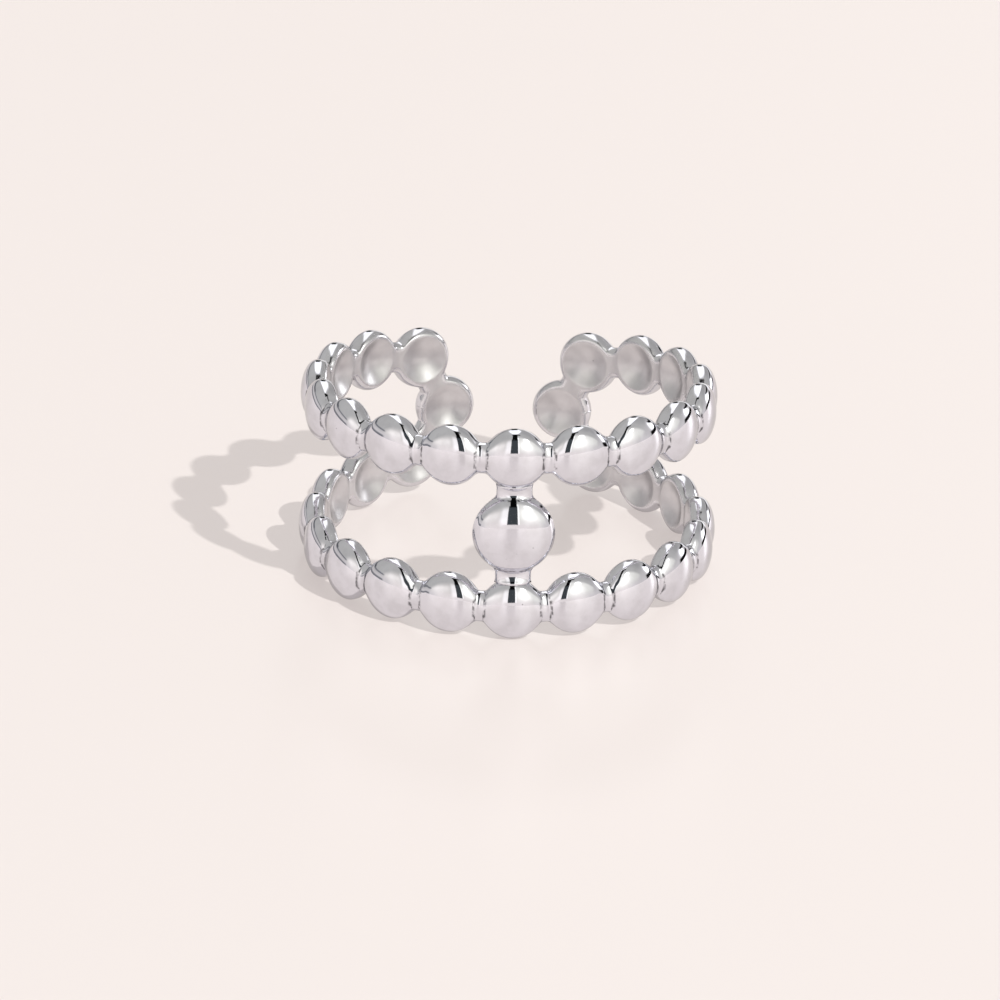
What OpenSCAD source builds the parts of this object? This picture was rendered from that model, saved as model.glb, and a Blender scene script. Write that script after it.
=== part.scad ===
// Adjustable ring: two rows of hollow-backed beads, a larger bead bridging them at the front,
// and one bead closing the rows at each end of the gap. One solid piece of metal, in millimetres.

/* [Finger] */
// Radius of the finger hole, at the inner face of the necks
finger_r = 8.65; // [8.4:0.05:9]

/* [Row beads] */
// Radius of a row bead, seen from the front
bead_r = 1.455; // [1.4:0.005:1.47]
// Depth of its straight side wall, from the inner rim
bead_wall = 0.58; // [0.5:0.01:0.65]
// Height of its dome over the side wall
bead_dome = 0.72; // [0.6:0.01:0.8]
// Beads in a row on each side of the front one
side_beads = 8; // [8:1:8]

/* [Large bead and end beads] */
// Radius of the large bead at the front
big_r = 1.89; // [1.8:0.005:1.9]
// Depth of its straight side wall
big_wall = 0.55; // [0.5:0.01:0.65]
// Height of its dome
big_dome = 0.85; // [0.7:0.01:0.95]
// Radius of the bead at each end of the gap
end_r = 1.43; // [1.38:0.005:1.45]
// Angle of that bead from the front
end_angle = 161.9; // [161.5:0.1:162.3]
// Mean height of these two beads over the middle of the ring
end_z = 0.1; // [0:0.01:0.15]
// Height that the left one lies over that, and the right one under it
end_skew = 0.1; // [0:0.01:0.15]

/* [Rows] */
// Angle from bead to bead in the upper row
upper_pitch = 19.18; // [19.1:0.01:19.25]
// Angle from bead to bead in the lower row
lower_pitch = 18.88; // [18.8:0.01:18.95]
// Height of each front row bead from the middle of the ring
row_z = 3.72; // [3.65:0.01:3.8]
// Height that the upper row gains evenly on its way to the gap
upper_rise = 0.14; // [0.1:0.01:0.2]
// Height that it loses again, more and more towards the gap
upper_sag = 0.69; // [0.65:0.01:0.75]
// Height that its last bead turns inwards
upper_tuck = 0.5; // [0.45:0.01:0.55]
// Height by which the lower row closes in evenly on its way to the gap
lower_rise = 1.13; // [1.1:0.01:1.2]
// Height that it gives back, more and more towards the gap
lower_sag = 0.17; // [0.15:0.01:0.2]
// Height that its last bead turns inwards
lower_tuck = 0.39; // [0.35:0.01:0.45]
// Height that the bent ring is out of true at its right end, and over at its left
twist = 0.1; // [0:0.01:0.15]

/* [Necks] */
// Height of the necks between the beads of a row
neck_w = 1.5; // [1.4:0.01:1.6]
// Width of the bridge that carries the large bead
bridge_w = 1.64; // [1.5:0.01:1.7]
// Thickness of the necks
neck_t = 0.82; // [0.7:0.01:0.9]

/* [Hollow backs] */
// Radius of each hollow's mouth, as a share of its bead's radius
dish_share = 0.76; // [0.7:0.01:0.78]
// Depth of a hollow, as a share of its bead's radius
dish_depth = 0.28; // [0.2:0.01:0.3]

/* [Hidden] */
$fn = 96;
// Chamfer along the inner rim of every bead
rim_chamfer = 0.1;
// Height of the bead rims over the inner face of the necks
rim_step = 0.03;
// How far the necks start inside a bead's outline, as a share of its radius
neck_start = 0.81;
// Lower bead that meets the floor on each side when the ring lies down
rest_bead = 6;

// Height of a row bead: number i counts from the front, positive to the right
function share(i) = abs(i) / side_beads;
function out_of_true(i) = -twist * sign(i) * pow(share(i), 2);
function upper_fall(i) = upper_sag * pow(share(i), 2) + upper_tuck * pow(share(i), 8) - upper_rise * share(i);
function lower_lift(i) = lower_rise * share(i) - lower_sag * pow(share(i), 2) + lower_tuck * pow(share(i), 8);
function upper_z(i) = row_z - upper_fall(i) + out_of_true(i);
function lower_z(i) = -row_z + lower_lift(i) + out_of_true(i);

// Places of beads as [angle from the front, height]
function upper_bead(i) = [i * upper_pitch, upper_z(i)];
function lower_bead(i) = [i * lower_pitch, lower_z(i)];
function end_bead(side) = [side * end_angle, end_z - end_skew * side];
front_bead = [0, 0];

// The lowest edge of a lower bead, and the lean at which the ring lies on three of them
wall_middle = finger_r + (rim_chamfer + bead_wall) / 2;
function low_edge(i) = [
    wall_middle * sin(i * lower_pitch),
    -wall_middle * cos(i * lower_pitch),
    lower_z(i) - bead_r
];
front_edge = low_edge(0);
back_edge = (low_edge(rest_bead) + low_edge(-rest_bead)) / 2;
side_edges = low_edge(rest_bead) - low_edge(-rest_bead);
rest_pitch = atan2(back_edge[2] - front_edge[2], back_edge[1] - front_edge[1]);
rest_roll = atan2(side_edges[2], side_edges[0]);
rest_height = -(front_edge[2] * cos(rest_pitch) - front_edge[1] * sin(rest_pitch)) * cos(rest_roll);
// The large bead stands out at the front and the gap is at the back, so the middle lies forward
middle_y = -0.3;

// Puts a shape at a place on the ring, with its own Z pointing away from the finger
module on_ring(place) {
    rotate([0, 0, place[0]])
        translate([0, -finger_r, place[1]])
            rotate([90, 0, 0])
                children();
}

// A domed disc: straight wall with a chamfered inner rim, a shoulder arc and a flatter crown
module bead(r, wall, dome) {
    crown_r = 0.9 * r * r / dome;
    shoulder_drop = 0.5 * r;
    shoulder_r = norm([r, shoulder_drop]);
    top = wall + dome;
    intersection() {
        rotate_extrude()
            polygon([[0, rim_step], [r - rim_chamfer, rim_step], [r, rim_chamfer], [r, top], [0, top]]);
        translate([0, 0, top - crown_r])
            sphere(r = crown_r);
        translate([0, 0, wall - shoulder_drop])
            sphere(r = shoulder_r);
    }
}

// The round hollow in a bead's back
module dish(r) {
    mouth_r = dish_share * r;
    depth = dish_depth * r;
    sphere_r = (mouth_r * mouth_r + depth * depth) / (2 * depth);
    translate([0, 0, rim_step + depth - sphere_r])
        sphere(r = sphere_r);
}

// The tube of metal that all the necks are cut from
module neck_tube() {
    tube_h = 4 * row_z;
    difference() {
        cylinder(r = finger_r + neck_t, h = tube_h, center = true);
        cylinder(r = finger_r, h = tube_h + 1, center = true);
    }
}

// A straight block from just inside one bead to just inside the next
module neck_block(a, b, a_r, b_r, width) {
    across = 2 * (finger_r + neck_t / 2) * sin((b[0] - a[0]) / 2);
    rise = b[1] - a[1];
    length = norm([across, rise]) - neck_start * (a_r + b_r);
    shift = neck_start * (a_r - b_r) / 2;
    on_ring((a + b) / 2)
        rotate([0, 0, atan2(rise, across)])
            translate([shift, 0, neck_t / 2])
                cube([length, width, neck_t + 1], center = true);
}

module row_bead() {
    color("silver")
        bead(bead_r, bead_wall, bead_dome);
}

module big_bead() {
    color("silver")
        bead(big_r, big_wall, big_dome);
}

module closing_bead() {
    color("silver")
        bead(end_r, bead_wall, bead_dome);
}

module upper_row() {
    for (i = [-side_beads:side_beads])
        on_ring(upper_bead(i))
            row_bead();
}

module lower_row() {
    for (i = [-side_beads:side_beads])
        on_ring(lower_bead(i))
            row_bead();
}

module end_beads() {
    for (side = [-1, 1])
        on_ring(end_bead(side))
            closing_bead();
}

module row_necks() {
    for (i = [-side_beads:side_beads - 1]) {
        neck_block(upper_bead(i), upper_bead(i + 1), bead_r, bead_r, neck_w);
        neck_block(lower_bead(i), lower_bead(i + 1), bead_r, bead_r, neck_w);
    }
}

module end_necks() {
    for (side = [-1, 1]) {
        neck_block(upper_bead(side * side_beads), end_bead(side), bead_r, end_r, neck_w);
        neck_block(lower_bead(side * side_beads), end_bead(side), bead_r, end_r, neck_w);
    }
}

module bridge() {
    neck_block(front_bead, upper_bead(0), big_r, bead_r, bridge_w);
    neck_block(front_bead, lower_bead(0), big_r, bead_r, bridge_w);
}

module necks() {
    color("silver")
        intersection() {
            neck_tube();
            union() {
                row_necks();
                end_necks();
                bridge();
            }
        }
}

module hollows() {
    for (i = [-side_beads:side_beads]) {
        on_ring(upper_bead(i))
            dish(bead_r);
        on_ring(lower_bead(i))
            dish(bead_r);
    }
    for (side = [-1, 1])
        on_ring(end_bead(side))
            dish(end_r);
    on_ring(front_bead)
        dish(big_r);
}

// The whole ring about its own axis, with the large bead at the front
module upright_ring() {
    difference() {
        union() {
            upper_row();
            lower_row();
            end_beads();
            on_ring(front_bead)
                big_bead();
            necks();
        }
        hollows();
    }
}

// The ring as it lies on a flat surface, on its lower front bead and one bead on each side
module ring() {
    color("silver")
        translate([0, -middle_y, rest_height])
            rotate([-rest_pitch, rest_roll, 0])
                upright_ring();
}

ring();
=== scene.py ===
# %% [markdown]
# # A silver ring of beads
#
# The ring is one piece of cast and polished metal: two rows of domed beads run round the
# finger, a larger bead bridges them at the front, and one bead closes each end of the gap.
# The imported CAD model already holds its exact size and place, so this script only adds the
# surface that the eye sees: soft fillets, hollowed bead backs and a mirror polish.

import bpy
import numpy as np
from mathutils import Matrix, Vector


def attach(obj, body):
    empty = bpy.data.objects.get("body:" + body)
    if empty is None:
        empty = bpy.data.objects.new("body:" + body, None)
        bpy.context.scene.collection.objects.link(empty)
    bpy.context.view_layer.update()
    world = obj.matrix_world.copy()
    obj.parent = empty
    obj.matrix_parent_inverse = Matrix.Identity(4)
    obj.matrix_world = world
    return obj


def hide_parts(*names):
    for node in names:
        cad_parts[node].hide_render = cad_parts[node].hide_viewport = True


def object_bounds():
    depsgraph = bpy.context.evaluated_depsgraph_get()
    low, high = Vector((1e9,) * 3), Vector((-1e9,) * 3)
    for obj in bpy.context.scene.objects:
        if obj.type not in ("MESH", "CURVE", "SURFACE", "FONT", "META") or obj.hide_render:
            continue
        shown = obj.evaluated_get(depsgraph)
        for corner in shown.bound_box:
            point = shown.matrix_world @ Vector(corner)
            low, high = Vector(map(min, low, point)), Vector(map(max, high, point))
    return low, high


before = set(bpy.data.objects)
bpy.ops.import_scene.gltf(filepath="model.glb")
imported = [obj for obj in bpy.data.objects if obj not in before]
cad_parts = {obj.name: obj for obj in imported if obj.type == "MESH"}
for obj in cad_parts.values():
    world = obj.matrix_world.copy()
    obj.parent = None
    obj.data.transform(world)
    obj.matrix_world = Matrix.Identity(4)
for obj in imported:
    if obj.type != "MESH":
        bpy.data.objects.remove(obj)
cad_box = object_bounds()
cad_size = (cad_box[1] - cad_box[0]) * 1000
print("CAD box in mm:", [round(side, 2) for side in cad_size])

# %% [markdown]
# ## Sizes
#
# A caster draws such a ring flat, as a strip of discs joined by short necks, and bends the
# casting round a mandrel afterwards. The sizes here are the CAD part's own, in millimetres.
# Each row has eight beads on either side of its front bead, and both rows close in towards
# the gap.

# %% Driving sizes, in millimetres
MM = 0.001
# All are lengths, angles or counts, except skirt and DISH_DEPTH, which are shares of a radius
FINGER_R = 8.65
SIDE_BEADS = 8

ROW_BEAD = {"r": 1.455, "wall": 0.58, "dome": 0.72, "skirt": 0.88, "flare": 0.045}
LARGE_BEAD = {"r": 1.89, "wall": 0.55, "dome": 0.85, "skirt": 0.93, "flare": 0.25}
END_BEAD = {"r": 1.43, "wall": 0.58, "dome": 0.72, "skirt": 0.88, "flare": 0.045}

UPPER_PITCH = np.radians(19.18)
LOWER_PITCH = np.radians(18.88)
END_ANGLE = np.radians(161.9)
ROW_Z = 3.72
UPPER_RISE, UPPER_SAG, UPPER_TUCK = 0.14, 0.69, 0.5
LOWER_RISE, LOWER_SAG, LOWER_TUCK = 1.13, 0.17, 0.39
END_Z, END_SKEW = 0.1, 0.1
TWIST = 0.1

ROW_NECK = {"half": 0.75, "top": 0.77}
BRIDGE_NECK = {"half": 0.82, "top": 0.71}
NECK_EDGE = 0.42
DISH_DEPTH = 0.28


def upper_height(i):
    """Height of upper bead i: a slight rise, a growing sag and a tuck at the last bead.

    The twist is that of a ring bent by hand: its right end lies lower than its left one."""
    x = np.abs(i) / SIDE_BEADS
    straight = ROW_Z + UPPER_RISE * x
    return straight - UPPER_SAG * x**2 - UPPER_TUCK * x**8 - TWIST * np.sign(i) * x**2


def lower_height(i):
    """Height of lower bead i: the row closes in evenly, and its last bead turns inwards.

    It has the same twist."""
    x = np.abs(i) / SIDE_BEADS
    straight = -ROW_Z + LOWER_RISE * x
    return straight - LOWER_SAG * x**2 + LOWER_TUCK * x**8 - TWIST * np.sign(i) * x**2


# %% [markdown]
# ## How the ring lies
#
# The ring lies on its side, on the lowest edges of three beads: the lower front bead and the
# sixth on each side. A plane through three points gives its lean, so nothing here is guessed.
# The large bead stands out at the front and the gap is at the back, so the middle of the box
# lies a little in front of the finger's middle. It goes over the origin.

# %% Lean and height of the lying ring
REST_BEAD = 6
RIM_CHAMFER = 0.1
MIDDLE_Y = -0.3


def low_edge(i):
    """The lowest edge of lower bead i, halfway up its wall over the chamfered rim."""
    reach = FINGER_R + (RIM_CHAMFER + ROW_BEAD["wall"]) / 2
    angle = i * LOWER_PITCH
    return np.array([reach * np.sin(angle), -reach * np.cos(angle), lower_height(i) - ROW_BEAD["r"]])


front_edge = low_edge(0)
back_edge = (low_edge(REST_BEAD) + low_edge(-REST_BEAD)) / 2
side_edges = low_edge(REST_BEAD) - low_edge(-REST_BEAD)
pitch = np.arctan2(back_edge[2] - front_edge[2], back_edge[1] - front_edge[1])
roll = np.arctan2(side_edges[2], side_edges[0])
rest_turn = Matrix.Rotation(roll, 3, "Y") @ Matrix.Rotation(-pitch, 3, "X")
rest_drop = (rest_turn @ Vector(front_edge)).z
rest_shift = Vector((0, -MIDDLE_Y, -rest_drop))
print("lean in degrees:", round(np.degrees(pitch), 2), round(np.degrees(roll), 2))


def laid_down(points):
    """Turns points of the upright ring, in millimetres, into places of the lying ring, in metres."""
    turned = points @ np.array(rest_turn).T + np.array(rest_shift)
    return turned * MM


# %% [markdown]
# ## Camera
#
# The photograph was taken with a long lens, from far away for a thing so small, so the rows
# hardly converge. The camera's angle is given relative to the upright ring and then leans
# with it. At the ring, a pixel is as wide as the distance divided by the focal length.

# %% Camera
VIEW_ELEVATION = np.radians(19.49)
VIEW_AZIMUTH = np.radians(-1.99)
VIEW_ROLL = np.radians(1.095)
VIEW_DISTANCE = 598.3
FOCAL_PIXELS = 12576.0
IMAGE_SIDE = 1000
RING_PIXEL = (508.25, 468.63)
SENSOR_WIDTH = 36.0
NEAREST, FARTHEST = 0.01, 10.0


def make_camera():
    """Places the camera so that the ring's own centre falls on RING_PIXEL."""
    el, az = VIEW_ELEVATION, VIEW_AZIMUTH
    back = Vector((np.sin(az) * np.cos(el), -np.cos(az) * np.cos(el), np.sin(el)))
    right = Vector((np.cos(az), np.sin(az), 0))
    up = back.cross(right)
    level = right * np.cos(VIEW_ROLL) + up * np.sin(VIEW_ROLL)
    upward = up * np.cos(VIEW_ROLL) - right * np.sin(VIEW_ROLL)
    pixel = VIEW_DISTANCE / FOCAL_PIXELS
    middle = IMAGE_SIDE / 2
    aim = level * ((middle - RING_PIXEL[0]) * pixel) + upward * ((RING_PIXEL[1] - middle) * pixel)
    place = back * VIEW_DISTANCE
    depth = (place - aim).normalized()
    level = (level - depth * level.dot(depth)).normalized()
    turn = rest_turn @ Matrix((level, depth.cross(level), depth)).transposed()
    data = bpy.data.cameras.new("camera")
    data.sensor_width = SENSOR_WIDTH
    data.lens = FOCAL_PIXELS / IMAGE_SIDE * data.sensor_width
    data.clip_start = NEAREST
    data.clip_end = FARTHEST
    camera = bpy.data.objects.new("camera", data)
    camera.matrix_world = turn.to_4x4()
    camera.location = (rest_turn @ place + rest_shift) * MM
    bpy.context.scene.collection.objects.link(camera)
    bpy.context.scene.camera = camera
    return camera


camera = make_camera()
print("camera at", [round(c, 3) for c in camera.location])

# %% [markdown]
# ## The strip before it is bent
#
# On the flat strip a point has a place along the ring, a height across it, and a distance
# out from the finger. A chain of beads is drawn by carrying one closed profile along the
# line through their centres. The profile's width and height come from the beads and necks
# near it. Where two shapes meet, a smooth maximum rounds the corner, as polishing does.

# %% Smooth joins
CREASE_FILLET = 0.006


def smooth_max(a, b, fillet):
    """The larger of a and b, rounded over where they are closer than the fillet.

    It is half of a plus b plus the root of (their difference squared plus four fillets squared)."""
    return 0.5 * (a + b + np.sqrt((a - b) ** 2 + 4 * fillet**2))


def blend(x):
    """Goes from 0 to 1 with level ends: three x squared minus two x cubed."""
    x = np.clip(x, 0, 1)
    return x * x * (3 - 2 * x)


# %% [markdown]
# ## Faces and hollows
#
# A bead's face is a dome on a short wall, and a neck's face is nearly flat with round edges.
# Along the chain the metal flows from each dome into the neck on a skirt, which leaves the
# dome at a share of the bead's radius. Beside its own outline a face falls off steeply, so
# the larger of two faces is always the right one. The back of a bead is a hollow, which saves
# metal and makes the ring light to wear.

# %% Heights over the finger
FALL_BESIDE = 2
NECK_OVAL = 2.4
LIP_SHARE = 0.79
LIP_SOFTNESS = 1.25


def dome_height(reach, r, wall, dome):
    """Height of a bead's face at a distance from its centre: a wall with half an ellipse on it."""
    inside = np.sqrt(np.clip(1 - (reach / r) ** 2, 0, 1))
    return wall + dome * inside - FALL_BESIDE * np.clip(reach - r, 0, None)


def skirt_height(reach, neck_top, r, wall, dome, skirt):
    """Height of a bead's skirt over the neck: a parabola that leaves the dome along its slope."""
    start = skirt * r
    lift = dome_height(start, r, wall, dome) - neck_top
    slope = dome / r * skirt / np.sqrt(1 - skirt**2)
    length = 2 * lift / slope
    return lift * np.clip((start + length - np.maximum(reach, start)) / length, 0, 1) ** 2


def neck_height(offset, half, top):
    """Height of a neck's face at a distance from its middle line: half a flattened oval."""
    inside = np.sqrt(np.clip(1 - (offset / half) ** NECK_OVAL, 0, 1))
    return NECK_EDGE + (top - NECK_EDGE) * inside - FALL_BESIDE * np.clip(offset - half, 0, None)


def dish_height(reach, r):
    """Depth of the hollow in a bead's back: a bowl that starts level at its lip."""
    inside = np.clip(1 - (reach / (LIP_SHARE * r)) ** 2, 0, 1)
    return DISH_DEPTH * r * inside**LIP_SOFTNESS


# %% [markdown]
# ## Stations along a chain
#
# Everything about a chain is held in arrays with one value for each bead: its angle round the
# finger, its height, radius, wall and dome. Stations along the chain lie closer together at
# the necks, where the surface bends most. FLAT_R is the radius that makes the flat strip as
# long as the planes that it is bent onto, each of which touches the finger under a bead.

# %% Stations and section lines
FLAT_R = FINGER_R * np.tan(UPPER_PITCH / 2) / (UPPER_PITCH / 2)
STATIONS = 34
STATION_CROWDING = 0.68


def station_places(first, last):
    """Places along a chain, counted in beads, closest together halfway between two beads."""
    t = np.arange(round(STATIONS * (last - first)) + 1) / STATIONS + first
    return t + STATION_CROWDING / (2 * np.pi) * np.sin(2 * np.pi * t)


def section_lines(beads, place, closed):
    """The line that crosses the flat strip at each station, as arrays by name.

    A line lies between the bead before it and the one after it, and part says how far along.
    Its direction, across, is square to the chain and turns smoothly at a bead. Its slant is the
    cosine of the angle between it and the line that is square to the step between the beads."""
    centres = np.stack([FLAT_R * beads["angle"], beads["z"]], 1)
    steps = np.roll(centres, -1, 0) - centres
    heading = np.arctan2(steps[:, 1], steps[:, 0])
    # As the angle of a complex number, each turn is at most half a circle either way
    turning = np.angle(np.exp(1j * (heading - np.roll(heading, 1))))
    if not closed:
        turning[0] = turning[-1] = 0
    before = np.floor(place).astype(int)
    after = (before + 1) % len(centres)
    part = place - before
    early = heading[before] - turning[before] * (1 - blend(part + 0.5))
    late = heading[before] + turning[after] * blend(part - 0.5)
    facing = np.where(part < 0.5, early, late)
    return {
        "centres": centres,
        "before": before,
        "after": after,
        "nearest": np.where(part < 0.5, before, after),
        "part": part,
        "spot": centres[before] + part[:, None] * steps[before],
        "across": np.stack([-np.sin(facing), np.cos(facing)], 1),
        "slant": np.cos(facing - heading[before]),
    }


# %% [markdown]
# ## Outline of the strip
#
# The outline cuts each section line off at both ends. It follows the beads' circles and, from
# one bead to the next, the straight sides of the neck, which flare out into a bead by a length
# of its own.


# %% Outline
def chord(lines, beads, which, share=1, least=0):
    """Both ends of each line inside a circle: half a chord each way from its middle.

    The circle's radius is a share of a bead's. Half a chord is never shorter than the least."""
    to_centre = lines["spot"] - lines["centres"][which]
    along = (to_centre * lines["across"]).sum(1)
    short = along**2 - (to_centre**2).sum(1) + (share * beads["r"][which]) ** 2
    half = np.sqrt(np.clip(short, 0, None) + least**2)
    return -along - half, -along + half


def outline(lines, beads, neck_half):
    """Both ends of each line on the outline: the smooth maximum of circles and neck, each way."""
    low_a, high_a = chord(lines, beads, lines["before"])
    low_b, high_b = chord(lines, beads, lines["after"])
    late = blend(lines["part"])
    flare = beads["flare"][lines["before"]] * (1 - late) + beads["flare"][lines["after"]] * late
    straight = neck_half / lines["slant"]
    high = smooth_max(np.maximum(high_a, high_b), straight, flare)
    low = -smooth_max(np.maximum(-low_a, -low_b), straight, flare)
    return low, high


# %% [markdown]
# ## The profile
#
# One closed profile crosses the strip at every station, so the surface is a plain grid. Its
# inner edge is a quarter oval, because a finger would feel a sharp one. Between two beads the
# mouth of the hollow shrinks to its least width, and the back is flat there.

# %% Closed profile
EDGE_IN, EDGE_UP = 0.3, 0.42
FACE_COLUMNS, TURN_COLUMNS, BACK_COLUMNS, HOLLOW_COLUMNS = 27, 8, 2, 19


def section_profile(low, high, mouth_low, mouth_high):
    """Offsets of a closed profile's columns along the section lines, and its rounded edges.

    The face runs from edge to edge with sine spacing, so that its columns crowd at the rim.
    Then come one straight wall, a quarter oval round the inner edge, the flat back, the
    hollow with sine spacing, and the same again the other way. The second array says how far
    up its wall each column lies: 1 at the face, 0 where the quarter oval begins. The third
    is the height on the quarter oval."""
    sweep = np.sin(np.linspace(-1, 1, FACE_COLUMNS) * np.pi / 2)
    hollow = -np.sin(np.linspace(-1, 1, HOLLOW_COLUMNS) * np.pi / 2)
    turn = np.linspace(0, np.pi / 2, TURN_COLUMNS)
    rounding_in, rounding_up = EDGE_IN * (1 - np.cos(turn)), EDGE_UP * (1 - np.sin(turn))
    step = np.arange(1, BACK_COLUMNS + 1) / (BACK_COLUMNS + 1)
    low, high, mouth_low, mouth_high = (a[:, None] for a in (low, high, mouth_low, mouth_high))
    back_high, back_low = high - EDGE_IN, low + EDGE_IN
    mouth_middle, mouth_half = (mouth_low + mouth_high) / 2, (mouth_high - mouth_low) / 2
    columns = [
        ((low + high) / 2 + (high - low) / 2 * sweep, 1 + 0 * sweep, 0 * sweep),
        (high, np.array([0.5]), np.zeros(1)),
        (high - rounding_in, 0 * turn, rounding_up),
        (back_high + (mouth_high - back_high) * step, 0 * step, 0 * step),
        (mouth_middle + mouth_half * hollow, 0 * hollow, 0 * hollow),
        (mouth_low + (back_low - mouth_low) * step, 0 * step, 0 * step),
        (low + rounding_in[::-1], 0 * turn, rounding_up[::-1]),
        (low, np.array([0.5]), np.zeros(1)),
    ]
    offsets, up_wall, rounding = zip(*columns)
    return np.concatenate(offsets, 1), np.concatenate(up_wall), np.concatenate(rounding)


# %% [markdown]
# ## The surface of a chain
#
# The profile is swept along the stations, and the faces and hollows give each point its
# height. Then the strip is bent. Each bead lies on a plane that touches the finger under it,
# and halfway to the next bead the strip passes smoothly from one plane to the other. A tucked
# chain starts and ends inside its end beads, just under their surface: near their centres its
# edges draw in, its face sinks along a parabola, and its back rises.

# %% Chain surface
MOUTH_LEAST = 0.12
BEND_START, BEND_LENGTH = 0.36, 0.28
TUCK_EDGE, TUCK_FACE, TUCK_BACK = 1.2, 1.38, 1.27
TUCK_EDGE_SLOPE, TUCK_FACE_BEND, TUCK_BACK_SLOPE = 0.8, 0.5, 0.15


def distance(points, centre):
    """Distance of points of the flat strip from a centre."""
    return np.hypot(*np.moveaxis(points - centre, -1, 0))


def from_ends(lines, points):
    """Distance of points of the flat strip from the nearer of a chain's first and last centre."""
    first, last = lines["centres"][[0, -1]]
    return np.minimum(distance(points, first), distance(points, last))


def bent(angle, flat, out):
    """Puts points of the flat strip on the plane that touches the finger at an angle."""
    along = flat[..., 0] - FLAT_R * angle
    reach = FINGER_R + out
    x = along * np.cos(angle) + reach * np.sin(angle)
    y = along * np.sin(angle) - reach * np.cos(angle)
    return np.stack([x, y, flat[..., 1]], -1)


def dome_and_neck(lines, beads, neck_size, flat, offsets):
    """Heights of the beads' faces, and of the neck with its skirts, at points of the strip."""
    neck = neck_height(np.abs(offsets * lines["slant"][:, None]), **neck_size)
    domes = []
    for which in (lines["before"], lines["after"]):
        reach = distance(flat, lines["centres"][which][:, None])
        r, wall, dome, skirt = (beads[key][which][:, None] for key in ("r", "wall", "dome", "skirt"))
        domes.append(dome_height(reach, r, wall, dome))
        neck = neck + skirt_height(reach, neck_size["top"], r, wall, dome, skirt)
    return np.maximum(*domes), neck


def chain_surface(beads, neck_size, first=0, last=None, tucked=False):
    """Points of a chain of beads, one row for each station and one column round its profile.

    beads holds an array of each size: angle, z and those of its kind. A chain with no last
    place is closed. The second result is the dome's height over the neck, which is 0 along
    their crease."""
    closed = last is None
    place = station_places(first, len(beads["angle"]) if closed else last)
    lines = section_lines(beads, place[:-1] if closed else place, closed)
    low, high = outline(lines, beads, neck_size["half"])
    if tucked:
        inset = TUCK_EDGE_SLOPE * np.clip(TUCK_EDGE - from_ends(lines, lines["spot"]), 0, None)
        low, high = low + inset, high - inset
    nearest = lines["nearest"]
    mouth = chord(lines, beads, nearest, LIP_SHARE, MOUTH_LEAST)
    offsets, up_wall, rounding = section_profile(low, high, *mouth)
    flat = lines["spot"][:, None] + offsets[:, :, None] * lines["across"][:, None]

    dome, neck = dome_and_neck(lines, beads, neck_size, flat, offsets)
    over_neck = np.where(up_wall == 1, dome - neck, 1)
    face = smooth_max(dome, neck, CREASE_FILLET)
    from_nearest = distance(flat, lines["centres"][nearest][:, None])
    back = np.where(rounding > 0, rounding, dish_height(from_nearest, beads["r"][nearest][:, None]))
    if tucked:
        from_end = from_ends(lines, flat)
        face = face - TUCK_FACE_BEND * np.clip(TUCK_FACE - from_end, 0, None) ** 2
        back = back + TUCK_BACK_SLOPE * np.clip(TUCK_BACK - from_end, 0, None)
    edge = np.where(up_wall == 0.5, (face + EDGE_UP) / 2, back)
    out = np.where(up_wall == 1, face, edge)

    share = blend((lines["part"] - BEND_START) / BEND_LENGTH)[:, None, None]
    on_before = bent(beads["angle"][lines["before"]][:, None], flat, out)
    on_after = bent(beads["angle"][lines["after"]][:, None], flat, out)
    return (1 - share) * on_before + share * on_after, over_neck


# %% [markdown]
# ## From points to an object
#
# A mesh is a list of points and a list of faces. Here the points are a grid, one row for each
# station, so the faces follow from counting. An open chain is closed by a face at each end.
# All faces are turned outwards, as on a real solid: the volume inside them tells which way
# they are turned.


# %% Faces and meshes
def grid_faces(rows, columns, closed_rows):
    """Quads of a grid of points whose columns wrap round, and whose rows wrap if asked."""
    i = np.arange(rows if closed_rows else rows - 1)[:, None]
    j = np.arange(columns)[None, :]
    below, beside = (i + 1) % rows, (j + 1) % columns
    corners = (i * columns + j, i * columns + beside, below * columns + beside, below * columns + j)
    return np.stack(np.broadcast_arrays(*corners), -1).reshape(-1, 4)


def enclosed_volume(points, quads):
    """Signed volume inside closed faces, by summing the cones from the origin."""
    a, b, c, d = (points[quads[:, k]] for k in range(4))
    return (np.cross(a, b) * c).sum() / 6 + (np.cross(a, c) * d).sum() / 6


def make_mesh(name, points, quads, marks):
    """Makes a smooth-shaded object from a grid of points in metres, closed at its open ends.

    Its faces are turned outwards. marks holds a value for each point under the name of an
    attribute, which the metal reads."""
    rows, columns = points.shape[:2]
    places = points.reshape(-1, 3)
    outwards = 1 if enclosed_volume(places, quads) > 0 else -1
    faces = quads[:, ::outwards].tolist()
    if len(quads) < rows * columns:
        first = np.arange(columns)[::-outwards]
        last = rows * columns - columns + np.arange(columns)[::outwards]
        faces += [first.tolist(), last.tolist()]
    mesh = bpy.data.meshes.new(name)
    mesh.from_pydata(places.tolist(), [], faces)
    mesh.shade_smooth()
    for mark, values in marks.items():
        mesh.attributes.new(mark, "FLOAT", "POINT").data.foreach_set("value", values.ravel())
    mesh.update()
    piece = bpy.data.objects.new(name, mesh)
    bpy.context.scene.collection.objects.link(piece)
    print(name, "has", len(quads), "quads")
    return piece


# %% [markdown]
# ## The band
#
# One closed chain makes both rows: along the upper row, round the right end bead, back along
# the lower row and round the left end bead. That is how the casting runs too.


# %% Band of beads
def bead_sizes(count, kind):
    """The sizes of one kind of bead, repeated for a number of beads."""
    return {key: np.full(count, value) for key, value in kind.items()}


def joined(*groups):
    """Joins groups of beads into one chain, in order."""
    return {key: np.concatenate([group[key] for group in groups]) for key in groups[0]}


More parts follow.
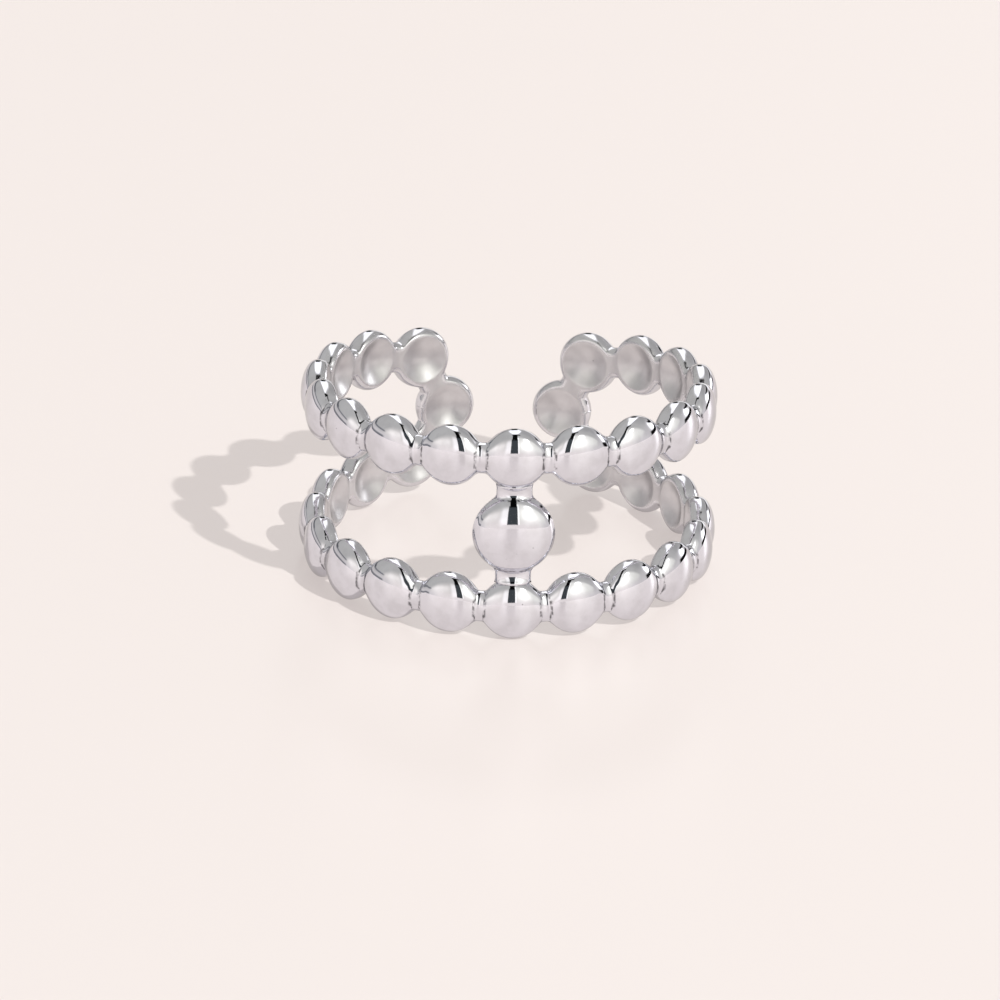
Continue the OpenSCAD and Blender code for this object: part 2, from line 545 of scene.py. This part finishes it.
def row_beads(numbers, spacing, height):
    """A row's beads by number, counted from the front and positive to the right."""
    return {"angle": numbers * spacing, "z": height(numbers), **bead_sizes(len(numbers), ROW_BEAD)}


def end_beads(side):
    """The bead that closes the gap on one side: 1 is right, -1 is left."""
    height = END_Z - END_SKEW * side
    return {"angle": np.array([side * END_ANGLE]), "z": np.array([height]), **bead_sizes(1, END_BEAD)}


def inner_side():
    """How far inside the ring each column lies: 0 on the face, then by steps to 1 on the back."""
    outer, inner = TURN_COLUMNS // 2, TURN_COLUMNS // 2 + 1
    back = 2 * BACK_COLUMNS + HOLLOW_COLUMNS
    return np.repeat([0, 0.3, 0.6, 1, 0.6, 0.3], [FACE_COLUMNS, outer, inner, back, inner, outer])


def chain_piece(name, surface, closed):
    """Makes the object of a chain's surface, with the marks that its metal reads."""
    strip, crease = surface
    marks = {"over_neck": crease, "inner_side": np.broadcast_to(inner_side(), crease.shape)}
    return make_mesh(name, laid_down(strip), grid_faces(*crease.shape, closed), marks)


numbers = np.arange(-SIDE_BEADS, SIDE_BEADS + 1)
band_beads = joined(
    row_beads(numbers, UPPER_PITCH, upper_height), end_beads(1),
    row_beads(numbers[::-1], LOWER_PITCH, lower_height), end_beads(-1))
band = chain_piece("bead_band", chain_surface(band_beads, ROW_NECK), True)

# %% [markdown]
# ## The bridge
#
# The large bead hangs between the two front beads on a short neck above and below. It is the
# same kind of chain, of three beads, but only its middle shows: it starts and ends inside
# the front beads, a few stations past their centres, so its fillets run into them without a
# seam.

# %% Bridge with the large bead
PAST_CENTRE = 8 / STATIONS
front = np.array([0])
bridge_beads = joined(
    row_beads(front, UPPER_PITCH, upper_height),
    {"angle": np.zeros(1), "z": np.zeros(1), **bead_sizes(1, LARGE_BEAD)},
    row_beads(front, LOWER_PITCH, lower_height))
bridge_surface = chain_surface(bridge_beads, BRIDGE_NECK, PAST_CENTRE, 2 - PAST_CENTRE, tucked=True)
bridge = chain_piece("bead_bridge", bridge_surface, False)

# %% [markdown]
# ## Metal
#
# The ring is cast in brass, plated with silver and tumbled until it mirrors like glass. The
# outer faces are buffed most. The hollow backs can't be reached by a wheel, so they stay a
# little satin and smear what they mirror; their colour is a little darker than the faces', as
# painted shade in the hollows. A dark line of painted shade runs in the crease between a bead
# and its neck. A polished plate also keeps very low waves from the casting, a thin film that
# clouds it in places, and some tiny pits, which all bend or break the reflections.
# Metallic 1 and a nearly white colour give silver. Its specular tint is the colour that it
# mirrors at a glancing angle, where silver is a little darker than a perfect mirror.
# Colours are written as sRGB hex values, as a colour picker gives them, and turned to the
# linear values that the shaders work in.


# %% Colours and nodes
def linear(hex_colour):
    """Turns an sRGB hex colour such as "f7eee9" into linear red, green, blue and alpha."""
    parts = np.array([int(hex_colour[i:i + 2], 16) for i in (0, 2, 4)]) / 255
    values = np.where(parts <= 0.04045, parts / 12.92, ((parts + 0.055) / 1.055) ** 2.4)
    return (*values, 1.0)


def add_node(tree, kind, settings=None, **inputs):
    """Adds a node, sets its properties, and sets or links its inputs by name."""
    node = tree.nodes.new(kind)
    for name, value in (settings or {}).items():
        setattr(node, name, value)
    for name, value in inputs.items():
        socket = node.inputs[name.replace("_", " ")]
        if isinstance(value, bpy.types.NodeSocket):
            tree.links.new(value, socket)
        else:
            socket.default_value = value
    return node


def band_mask(tree, value, middle, half):
    """1 where a value is at the middle of a band, falling to 0 at its edges."""
    away = add_node(tree, "ShaderNodeMath", {"operation": "SUBTRACT"})
    tree.links.new(value, away.inputs[0])
    away.inputs[1].default_value = middle
    size = add_node(tree, "ShaderNodeMath", {"operation": "ABSOLUTE"})
    tree.links.new(away.outputs[0], size.inputs[0])
    node = add_node(
        tree, "ShaderNodeMapRange", {"interpolation_type": "SMOOTHSTEP"},
        Value=size.outputs[0], From_Max=half, To_Min=1.0, To_Max=0.0)
    return node.outputs["Result"]


def mixed(tree, factor, below, above):
    """Mixes two colours, given as hex values or as sockets, by a factor."""
    node = add_node(tree, "ShaderNodeMix", {"data_type": "RGBA"})
    tree.links.new(factor, node.inputs[0])
    for socket, colour in ((node.inputs[6], below), (node.inputs[7], above)):
        if isinstance(colour, bpy.types.NodeSocket):
            tree.links.new(colour, socket)
        else:
            socket.default_value = linear(colour)
    return node.outputs[2]


# %% [markdown]
# ## Building the metal's shader
#
# The patterns are read at places on the ring itself, so they stay where they are from every
# side. inner_side and over_neck are the marks that the chains left on their points. One noise
# gives the film, another the waves, a third breaks up the painted shade in the crease, and a
# Voronoi texture, which measures the distance to scattered points, gives the pits.

# %% Polished silver plate
BUFFED, SATIN = 0.045, 0.35
WAVE_SIZE, WAVE_DEPTH = 0.9 * MM, 0.005 * MM
# Where and how wide the painted shade line lies in the crease, and the grain that breaks it up
CREASE_MIDDLE, CREASE_HALF = 0.02, 0.035
CREASE_SHADE_GRAIN = 0.17 * MM
FILM_SIZE = 0.7 * MM
PIT_SPACING, PIT_RADIUS = 1.2 * MM, 0.045 * MM


def polished_silver():
    """Silver plate: a mirror with waves, film, pits, painted shade in creases and hollows, satin at
    the back.
    """
    material = bpy.data.materials.new("polished_silver_plate")
    material.use_nodes = True
    tree = material.node_tree
    shader = tree.nodes["Principled BSDF"]
    shader.inputs["Metallic"].default_value = 1
    shader.inputs["Specular Tint"].default_value = linear("e6e6e4")
    place = add_node(tree, "ShaderNodeTexCoord").outputs["Object"]
    inner = add_node(tree, "ShaderNodeAttribute", {"attribute_name": "inner_side"}).outputs["Fac"]
    over_neck = add_node(tree, "ShaderNodeAttribute", {"attribute_name": "over_neck"}).outputs["Fac"]

    cloud = add_node(tree, "ShaderNodeTexNoise", Vector=place, Scale=1 / FILM_SIZE, Detail=3.0)
    film = add_node(
        tree, "ShaderNodeMapRange", Value=cloud.outputs["Fac"],
        From_Min=0.42, From_Max=0.68, To_Max=0.22)
    # The hollow backs get a slightly darker colour than the faces: painted shade in the hollows
    colour = mixed(tree, film.outputs["Result"], mixed(tree, inner, "e2e2ea", "dbdadd"), "b2b0b3")
    pits = add_node(tree, "ShaderNodeTexVoronoi", Vector=place, Scale=1 / PIT_SPACING)
    pit = band_mask(tree, pits.outputs["Distance"], 0.0, PIT_RADIUS / PIT_SPACING)
    colour = mixed(tree, pit, colour, "6a686a")
    # A dark line of painted shade in the crease between bead and neck, broken up by a noise
    crease_shade_noise = add_node(tree, "ShaderNodeTexNoise", Vector=place, Scale=1 / CREASE_SHADE_GRAIN, Detail=1.0)
    crease_shade_breaks = add_node(
        tree, "ShaderNodeMapRange", Value=crease_shade_noise.outputs["Fac"], From_Min=0.35, From_Max=0.6)
    crease = add_node(tree, "ShaderNodeMath", {"operation": "MULTIPLY"})
    tree.links.new(band_mask(tree, over_neck, CREASE_MIDDLE, CREASE_HALF), crease.inputs[0])
    tree.links.new(crease_shade_breaks.outputs["Result"], crease.inputs[1])
    colour = mixed(tree, crease.outputs[0], colour, "656468")
    tree.links.new(colour, shader.inputs["Base Color"])

    finish = add_node(tree, "ShaderNodeMapRange", Value=inner, To_Min=BUFFED, To_Max=SATIN)
    tree.links.new(finish.outputs["Result"], shader.inputs["Roughness"])
    waves = add_node(tree, "ShaderNodeTexNoise", Vector=place, Scale=1 / WAVE_SIZE, Detail=1.0)
    wavy = add_node(
        tree, "ShaderNodeBump", Height=waves.outputs["Fac"], Distance=WAVE_DEPTH, Strength=1.0)
    tree.links.new(wavy.outputs["Normal"], shader.inputs["Normal"])
    return material


silver = polished_silver()
for piece in (band, bridge):
    piece.data.materials.append(silver)
    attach(piece, "root")
    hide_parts("ring")
print("silver on", [piece.name for piece in (band, bridge)])

# %% [markdown]
# ## Floor
#
# The ring lies on a pale sheet of acrylic that is lit a little from below, as in many pictures
# of jewellery, so the shadow on it stays light and even. The sheet has a faint sheen. It only
# shows at a low angle, where it mirrors the lights: the beads see a glow under each light.

# %% Floor
FLOOR_HALF = 2.0
LIT_FROM_BELOW = 0.54


def make_floor(half):
    """A flat pale floor at the height where the ring lies."""
    corners = [(-half, -half, 0), (half, -half, 0), (half, half, 0), (-half, half, 0)]
    mesh = bpy.data.meshes.new("floor")
    mesh.from_pydata(corners, [], [(0, 1, 2, 3)])
    floor = bpy.data.objects.new("floor", mesh)
    bpy.context.scene.collection.objects.link(floor)
    return floor


floor = make_floor(FLOOR_HALF)
acrylic = bpy.data.materials.new("pale_backlit_acrylic")
acrylic.use_nodes = True
acrylic_shader = acrylic.node_tree.nodes["Principled BSDF"]
acrylic_shader.inputs["Base Color"].default_value = linear("686461")
acrylic_shader.inputs["Roughness"].default_value = 0.34
acrylic_shader.inputs["Specular IOR Level"].default_value = 0.55
acrylic_shader.inputs["Emission Color"].default_value = linear("f7ece9")
acrylic_shader.inputs["Emission Strength"].default_value = LIT_FROM_BELOW
floor.data.materials.append(acrylic)
print("floor side in metres:", 2 * FLOOR_HALF)

# %% [markdown]
# ## Studio light
#
# A mirror has no shading of its own: it shows the studio. So the studio is built with care.
# Seen from the ring, a large lit sheet stands to the right and one to the left, each
# brightest where its lamps stand behind it. Between them is a narrow dark gap, where the
# camera looks in. A bar holds the sheets over the gap, and a light hangs above and behind
# it. All this is far away compared with the ring, so it is painted on the world by direction.
# A few measures of a direction are enough: sideways is its x, front_angle turns from the
# front horizon (0) over the top (90) to the back (180), and azimuth and elevation are the
# compass and the height. The key lamp is named here, because it shows in the metal too.
# The sheets are so large that stray rays find them on their own. So Blender is told not to
# aim rays at the world, which takes less than half the time and looks the same.

# %% Directions in the studio
KEY_AZIMUTH, KEY_ELEVATION = 41, 44
studio = bpy.data.worlds.new("studio")
studio.use_nodes = True
sky = studio.node_tree
bpy.context.scene.world = studio
studio.cycles.sampling_method = "NONE"
DEGREES = 180 / np.pi


def math(operation, *values):
    """Adds a math node to the sky, with numbers or sockets as its inputs."""
    node = sky.nodes.new("ShaderNodeMath")
    node.operation = operation
    for socket, value in zip(node.inputs, values):
        if isinstance(value, bpy.types.NodeSocket):
            sky.links.new(value, socket)
        else:
            socket.default_value = value
    return node.outputs[0]


look = add_node(sky, "ShaderNodeTexCoord").outputs["Generated"]
sideways, depth, upward = add_node(sky, "ShaderNodeSeparateXYZ", Vector=look).outputs
forward = math("MULTIPLY", depth, -1.0)
front_angle = math("MULTIPLY", math("ARCTAN2", upward, forward), DEGREES)
azimuth = math("MULTIPLY", math("ARCTAN2", sideways, forward), DEGREES)
elevation = math("MULTIPLY", math("ARCSINE", upward), DEGREES)
off_middle = math("ABSOLUTE", sideways)
off_front = math("ABSOLUTE", azimuth)

# %% [markdown]
# ## Painting the studio
#
# Each thing in the studio is a soft-edged mask and a colour. A mask is a product of smooth
# steps, and a glow is a bell curve around a direction. They are laid over each other in
# order, from the far background to the nearest thing.


# %% Masks, glows and paint
def over(value, edge, soft):
    """0 under an edge and 1 over it, with a smooth step as wide as twice soft."""
    node = add_node(
        sky, "ShaderNodeMapRange", {"interpolation_type": "SMOOTHSTEP"},
        Value=value, From_Min=edge - soft, From_Max=edge + soft)
    return node.outputs["Result"]


def under(value, edge, soft):
    """1 under an edge and 0 over it."""
    return math("SUBTRACT", 1.0, over(value, edge, soft))


def both(*masks):
    """The product of masks: 1 only where all of them are 1."""
    product = masks[0]
    for mask in masks[1:]:
        product = math("MULTIPLY", product, mask)
    return product


def between(value, low, high, soft):
    """1 between two edges and 0 outside them."""
    return both(over(value, low, soft), under(value, high, soft))


def toward(az, el):
    """The direction at an azimuth from the front, positive to the right, and an elevation."""
    az, el = np.radians(az), np.radians(el)
    return (np.sin(az) * np.cos(el), -np.cos(az) * np.cos(el), np.sin(el))


def glow(az, el, spread):
    """A round glow: exp of (cosine of the angle from its middle, less 1) over spread squared."""
    dot = sky.nodes.new("ShaderNodeVectorMath")
    dot.operation = "DOT_PRODUCT"
    sky.links.new(look, dot.inputs[0])
    dot.inputs[1].default_value = toward(az, el)
    tightness = 1 / np.radians(spread) ** 2
    return math("EXPONENT", math("MULTIPLY_ADD", dot.outputs["Value"], tightness, -tightness))


def lay(below, mask, colour, brightness):
    """Lays a colour over what is below it, where the mask is 1."""
    node = sky.nodes.new("ShaderNodeMix")
    node.data_type = "RGBA"
    factor, a, b = (node.inputs[k] for k in (0, 6, 7))
    sky.links.new(mask, factor)
    if isinstance(below, bpy.types.NodeSocket):
        sky.links.new(below, a)
    else:
        a.default_value = below
    b.default_value = (*(np.array(linear(colour)[:3]) * brightness), 1)
    return node.outputs[2]


def shine(below, mask, colour, brightness):
    """Adds light of a colour to what is below it."""
    node = sky.nodes.new("ShaderNodeVectorMath")
    node.operation = "MULTIPLY_ADD"
    sky.links.new(mask, node.inputs[0])
    node.inputs[1].default_value = np.array(linear(colour)[:3]) * brightness
    sky.links.new(below, node.inputs[2])
    return node.outputs["Vector"]


# %% [markdown]
# ## The room and the lit sheets
#
# The room is a neutral grey. The left sheet is lit up to about 45 degrees and fades above,
# the right one reaches higher. Each has glows where its lamps stand, and the key lamp burns
# through the right one as a small disc. Pale paper curves up from the floor on every side, so
# the floor and the sheets meet without a hard line.

# %% Room and sheets
behind_left = both(over(front_angle, 135, 40), under(sideways, 0, 0.2))
view = lay(linear("c6c5c0"), behind_left, "c0bfbb", 1.0)
behind_right = both(over(front_angle, 95, 25), over(sideways, 0.15, 0.15))
view = lay(view, behind_right, "b4b3b0", 1.0)

left = both(under(sideways, 0, 0.02), under(front_angle, 46, 16))
view = lay(view, left, "fffaf2", 0.8)
view = shine(view, both(left, under(front_angle, 10, 14)), "fff4ea", 0.25)
right = both(over(sideways, 0, 0.02), under(front_angle, 62, 9))
view = lay(view, right, "fffef4", 0.88)
view = shine(view, both(right, glow(43, 25, 24)), "fffef4", 0.2)
view = shine(view, both(right, glow(30, 24, 11)), "fffef4", 0.9)
view = shine(view, glow(KEY_AZIMUTH, KEY_ELEVATION, 3.5), "fffefa", 9.0)
view = shine(view, both(left, glow(-56, 17, 10)), "fffaf3", 0.45)
view = shine(view, both(left, glow(-34, 22, 8)), "fffaf3", 0.3)

view = lay(view, over(off_middle, 0.955, 0.035), "c9c7c3", 1.0)
side_curve = both(under(elevation, 8, 8), over(off_front, 50, 15))
view = lay(view, side_curve, "ece6e3", 0.98)
front_curve = both(under(elevation, 9, 13), under(off_front, 50, 15))
view = lay(view, front_curve, "f7eee9", 1.15)
far_curve = both(under(elevation, 24, 20), between(azimuth, 80, 150, 20))
view = lay(view, far_curve, "ece8e5", 0.88)

# %% [markdown]
# ## Stands, gap and bar
#
# Grey stands cross the room at the left, low down. At the back right a lamp shines over a
# black stand, with a black arm above it and a white card beside it. The sheets are brightest
# along the gap, and the gap itself is dark grey below, where the camera catches some light,
# and black above, up to the bar that crosses its top.

# %% Stands, gap and bar
BLACK, GREY_STAND = "101010", "8c8d90"
far_left = between(azimuth, -150, -74, 4)
view = lay(view, both(far_left, between(elevation, 11, 14.5, 1)), GREY_STAND, 0.9)
view = lay(view, both(far_left, between(elevation, -3, 3.5, 1.5)), GREY_STAND, 0.9)

view = shine(view, glow(116, 15, 6), "ffffff", 6.0)
black_stand = both(between(azimuth, 96, 142, 3), between(elevation, -4, 7, 1.5))
view = lay(view, black_stand, BLACK, 1.0)
arm_height = math("MULTIPLY_ADD", azimuth, 0.4, elevation)
arm = both(between(azimuth, 118, 163, 4), between(arm_height, 68.5, 77.5, 2.5))
view = lay(view, arm, BLACK, 1.0)
white_card = both(between(azimuth, 145, 178, 4), between(elevation, -2, 9, 2.5))
view = lay(view, white_card, "ffffff", 1.4)
dark_card = both(between(azimuth, -168, -120, 5), between(elevation, 11, 17, 2))
view = lay(view, dark_card, "606266", 1.0)

left_of_gap = both(between(sideways, -0.34, -0.12, 0.07), between(front_angle, 6, 44, 10))
view = shine(view, left_of_gap, "ffffff", 0.45)
right_of_gap = both(between(sideways, 0.1, 0.155, 0.01), between(front_angle, 0, 60, 5))
view = shine(view, right_of_gap, "ffffff", 0.5)
gap = both(between(sideways, -0.155, 0.115, 0.008), between(front_angle, 0, 52, 4))
view = lay(view, gap, "464b4d", 1.0)
gap_above = both(between(sideways, -0.12, 0.1, 0.01), between(front_angle, 46, 80, 3))
view = lay(view, gap_above, "080808", 1.0)
bar = both(between(sideways, -0.14, 0.22, 0.015), between(front_angle, 76, 84, 1.5))
view = lay(view, bar, "080808", 1.0)

# %% [markdown]
# ## Top light and horizon
#
# The top light is an oval: its mask comes from the squares of two distances, each divided by
# the oval's half width that way. The stem that holds it shows as a black mark at its far end.
# At the front the paper curves up a little under the gap too, as a pale strip.

# %% Top light and horizon
TOP_MIDDLE, TOP_REACH, TOP_HALF = 125.0, 40.0, 0.21
from_middle = math("ABSOLUTE", math("SUBTRACT", front_angle, TOP_MIDDLE))
along = math("POWER", math("DIVIDE", from_middle, TOP_REACH), 2.0)
aside = math("POWER", math("DIVIDE", off_middle, TOP_HALF), 2.0)
oval = both(under(math("ADD", along, aside), 1.0, 0.4), over(front_angle, 86.5, 1.5))
view = lay(view, oval, "ffffff", 1.6)
stem = both(between(sideways, -0.07, 0.07, 0.02), between(front_angle, 154, 174, 2))
view = lay(view, stem, "080808", 1.0)
strip = both(under(front_angle, 6, 1), under(off_middle, 0.25, 0.1))
view = lay(view, strip, "f7eee9", 1.1)

background = sky.nodes["Background"]
sky.links.new(view, background.inputs["Color"])
print("the studio is painted by", len(sky.nodes), "nodes")

# %% [markdown]
# ## Key lamp
#
# The key lamp is strong enough to cast a shadow, to the left of the ring and away from the
# camera. It is small for its distance, so the shadow's edge is only a little soft. The metal
# already mirrors it as the disc in the right sheet, so the lamp is hidden from reflections.

# %% Key lamp
key_data = bpy.data.lights.new("key_lamp", "SUN")
key_data.angle = np.radians(1.2)
key_data.energy = 9.0
key_lamp = bpy.data.objects.new("key_lamp", key_data)
key_direction = Vector(toward(KEY_AZIMUTH, KEY_ELEVATION))
key_lamp.rotation_euler = key_direction.to_track_quat("Z", "Y").to_euler()
bpy.context.scene.collection.objects.link(key_lamp)
key_lamp.visible_glossy = False
print("key lamp shines from", [round(c, 2) for c in key_direction])

# %% [markdown]
# ## Colours
#
# The Standard view transform shows every colour just as it is lit. Others turn a nearly white
# floor grey, and the photograph's floor is as pale as paper.

# %% View transform
bpy.context.scene.view_settings.view_transform = "Standard"
